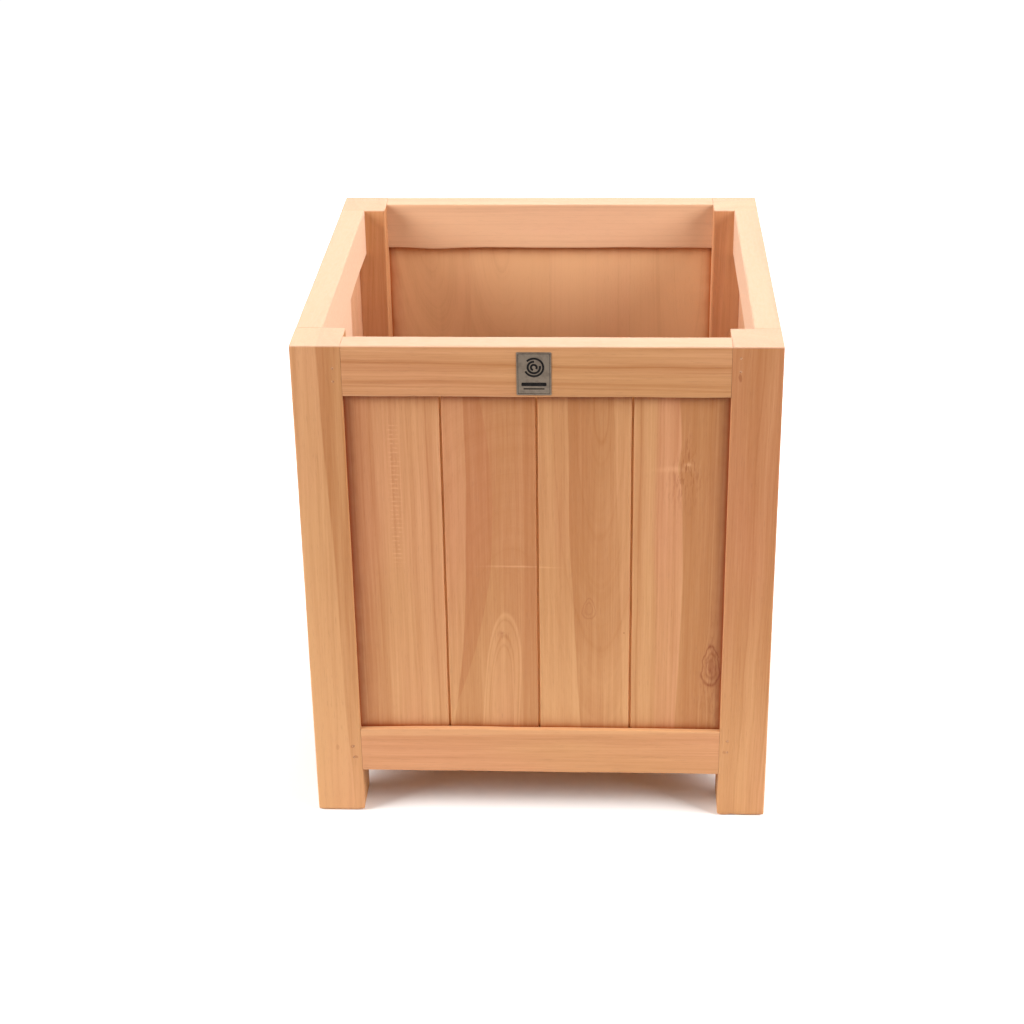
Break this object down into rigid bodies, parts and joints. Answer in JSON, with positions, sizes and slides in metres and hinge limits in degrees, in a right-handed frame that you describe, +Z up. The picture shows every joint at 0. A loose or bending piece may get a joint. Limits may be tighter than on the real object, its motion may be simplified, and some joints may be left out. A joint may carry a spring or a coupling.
{
  "type": "planter box",
  "caption": "Square wooden planter box on short legs, with framed board panels, an open top and a slatted floor that lets water drain.",
  "frame": {"origin": "on the ground under the middle of the box", "axes": "+Z up, -Y towards the front with the label plate, +X to the right seen from the front"},
  "size_m": [0.45, 0.4506, 0.505],
  "materials": {
    "teak_frame": "bare planed and sanded teak, matt",
    "teak_boards": "bare planed teak, matt",
    "teak_floor": "bare sawn teak, matt",
    "wood_filler": "sanded filler, matt",
    "pin_steel": "plain",
    "screw_steel": "plain stainless",
    "label_metal": "satin, with dark printed shapes"
  },
  "bodies": {
    "root": {"front_left_post": "teak_frame", "front_right_post": "teak_frame", "back_left_post": "teak_frame", "back_right_post": "teak_frame", "front_top_rail": "teak_frame", "right_top_rail": "teak_frame", "back_top_rail": "teak_frame", "left_top_rail": "teak_frame", "front_bottom_rail": "teak_frame", "right_bottom_rail": "teak_frame", "back_bottom_rail": "teak_frame", "left_bottom_rail": "teak_frame", "front_board_1": "teak_boards", "front_board_2": "teak_boards", "front_board_3": "teak_boards", "front_board_4": "teak_boards", "right_board_1": "teak_boards", "right_board_2": "teak_boards", "right_board_3": "teak_boards", "right_board_4": "teak_boards", "back_board_1": "teak_boards", "back_board_2": "teak_boards", "back_board_3": "teak_boards", "back_board_4": "teak_boards", "left_board_1": "teak_boards", "left_board_2": "teak_boards", "left_board_3": "teak_boards", "left_board_4": "teak_boards", "left_floor_batten": "teak_floor", "right_floor_batten": "teak_floor", "floor_slat_1": "teak_floor", "floor_slat_2": "teak_floor", "floor_slat_3": "teak_floor", "floor_slat_4": "teak_floor", "floor_slat_5": "teak_floor", "label_plate": "label_metal", "tenon_pins": "pin_steel", "pin_fillers": "wood_filler", "slat_screws": "screw_steel", "batten_screws": "screw_steel"}
  },
  "joints": []
}
